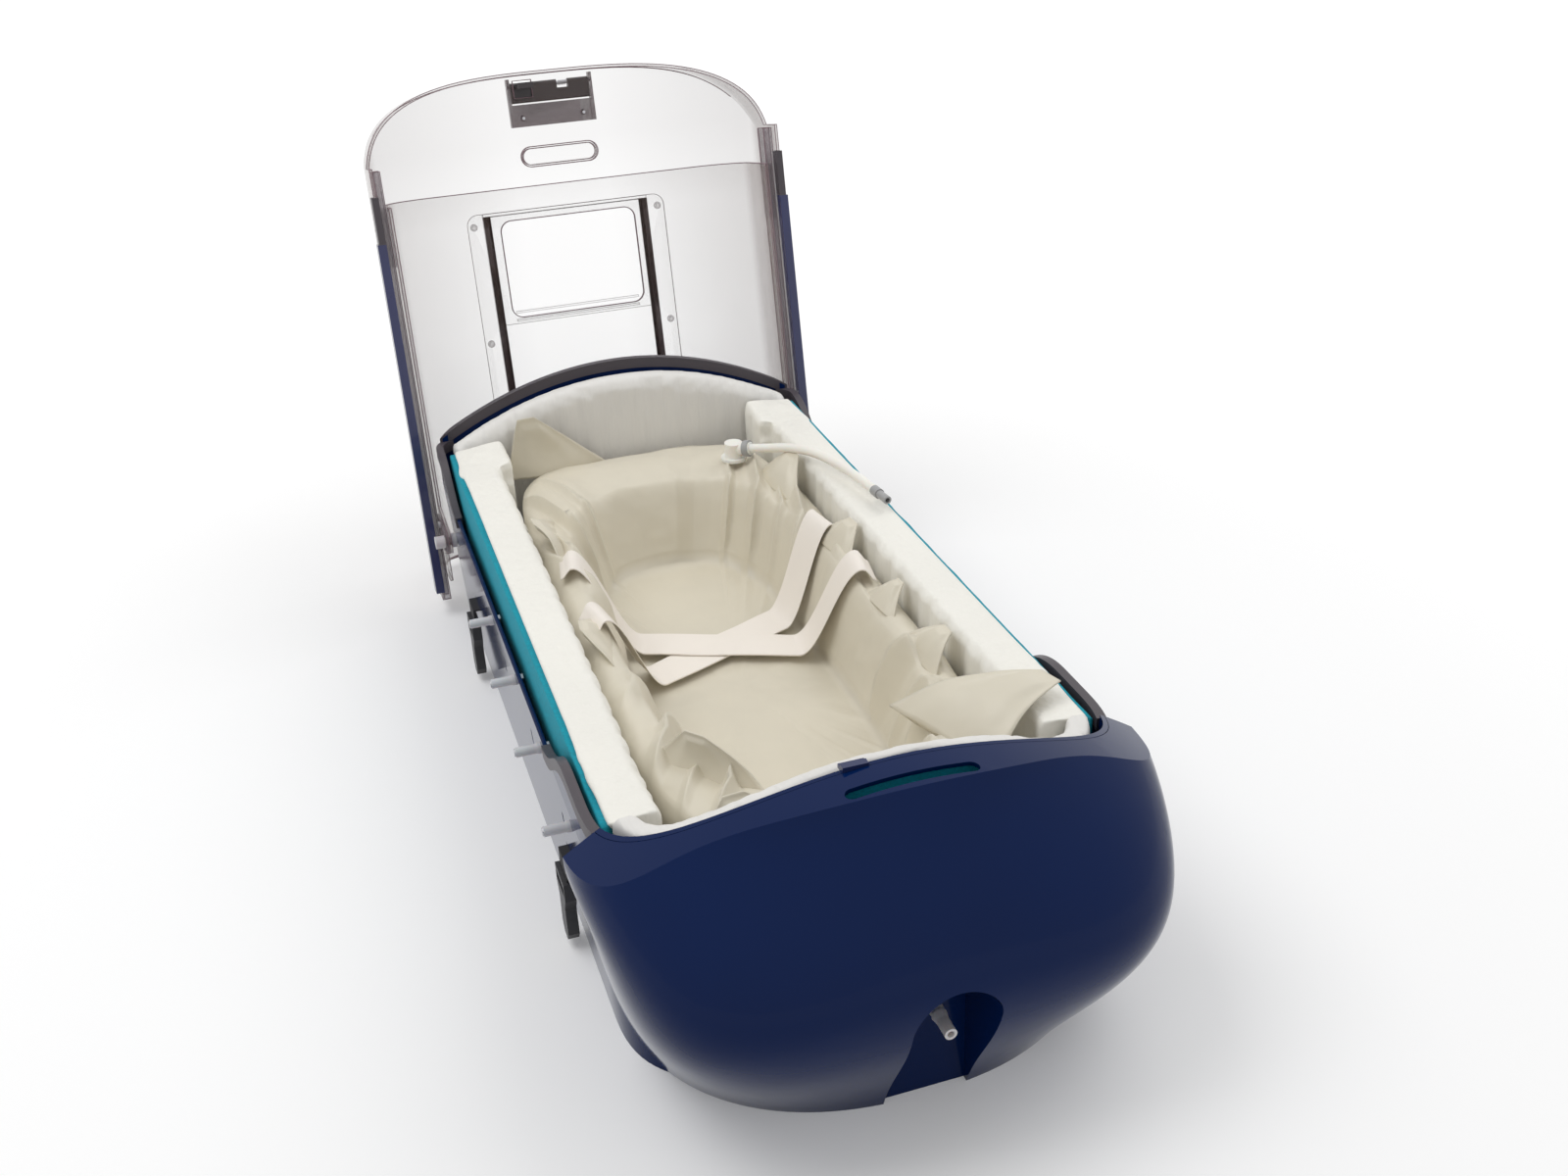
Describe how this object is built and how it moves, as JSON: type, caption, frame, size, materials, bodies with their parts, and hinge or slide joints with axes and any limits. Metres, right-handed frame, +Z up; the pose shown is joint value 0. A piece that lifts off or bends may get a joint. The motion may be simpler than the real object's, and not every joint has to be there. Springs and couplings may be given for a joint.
{
  "type": "infant transport pod",
  "caption": "Tray-shaped infant transport pod with a bulbous head cover, padded cocoon and a clear hinged lid that telescopes, with a sliding hatch and a sprung latch.",
  "frame": {"origin": "middle of the tub's flat base, on the surface that it stands on", "axes": "+Z up, +Y towards the foot end where the lid is hinged, +X to the right seen from the head end"},
  "size_m": [0.4324, 1.103, 0.5135],
  "materials": {
    "navy_gloss": "high gloss",
    "charcoal_rubber": "matt",
    "teal_foam": "matt foam",
    "cream_cover": "coated fabric",
    "white_cover": "coated fabric",
    "beige_mattress": "coated fabric",
    "cream_webbing": "soft webbing",
    "clear_sheet": "clear",
    "smoky_plastic": "translucent smoky",
    "dark_plastic": "satin",
    "black_plastic": "satin",
    "black_webbing": "woven",
    "nylon": "translucent",
    "steel": "plain",
    "grey_plastic": "satin",
    "white_hose": "soft"
  },
  "bodies": {
    "pod": {"tub_shell": "navy_gloss", "nose_cover": "navy_gloss", "nose_foam": "teal_foam", "foot_edge_trim": "charcoal_rubber", "head_edge_trim_left": "charcoal_rubber", "head_edge_trim_right": "charcoal_rubber", "latch_keeper": "navy_gloss", "drain_barb": "nylon", "drain_nut": "nylon", "side_pegs": "nylon", "peg_screws": "steel", "peg_nuts": "steel", "hinge_pins": "nylon", "hinge_nuts": "steel", "tie_down_webs": "black_webbing", "tie_down_buckles": "black_plastic", "foot_pad": "white_cover", "head_pad": "white_cover", "base_mattress": "white_cover", "vacuum_mattress": "beige_mattress", "mattress_valve": "white_hose", "valve_collar": "grey_plastic", "vacuum_hose": "white_hose", "hose_connector": "grey_plastic", "harness_strap_lower": "cream_webbing", "harness_strap_upper": "cream_webbing", "foam_liner_left": "teal_foam", "foam_liner_right": "teal_foam", "bolster_left": "cream_cover", "bolster_right": "cream_cover"},
    "rear_lid": {"rear_lid_shell": "clear_sheet", "bracket_screws": "steel", "hinge_bracket_left": "smoky_plastic", "hinge_bracket_right": "smoky_plastic", "slider_block_left": "smoky_plastic", "slider_block_right": "smoky_plastic"},
    "front_lid": {"front_lid_shell": "clear_sheet", "hatch_frame": "clear_sheet", "hatch_screws": "nylon", "latch_base": "smoky_plastic", "latch_screws": "steel", "latch_pin": "steel", "latch_spring": "steel", "rail_left": "smoky_plastic", "rail_right": "smoky_plastic", "edge_strip_left": "navy_gloss", "edge_strip_right": "navy_gloss", "seal_strip_left": "charcoal_rubber", "seal_strip_right": "charcoal_rubber", "hatch_guide_left": "dark_plastic", "hatch_guide_right": "dark_plastic"},
    "latch": {"latch_lever": "dark_plastic"},
    "hatch": {"hatch_panel": "clear_sheet"}
  },
  "joints": [
    {"name": "lid_hinge", "type": "hinge", "parent": "pod", "child": "rear_lid", "pos_m": [0, 0.334, 0.101], "axis": [1, 0, 0], "range_deg": [0, 101.6]},
    {"name": "lid_slide", "type": "slide", "parent": "rear_lid", "child": "front_lid", "axis": [0, 0.2011, 0.9796], "range_m": [0, 0.29]},
    {"name": "latch_pivot", "type": "hinge", "parent": "front_lid", "child": "latch", "pos_m": [0, 0.59154, 0.49527], "axis": [1, 0, 0], "range_deg": [0, 22], "stiffness_Nm_per_rad": 0.25},
    {"name": "hatch_slide", "type": "slide", "parent": "front_lid", "child": "hatch", "axis": [0, -0.2011, -0.9796], "range_m": [0, 0.11]}
  ]
}
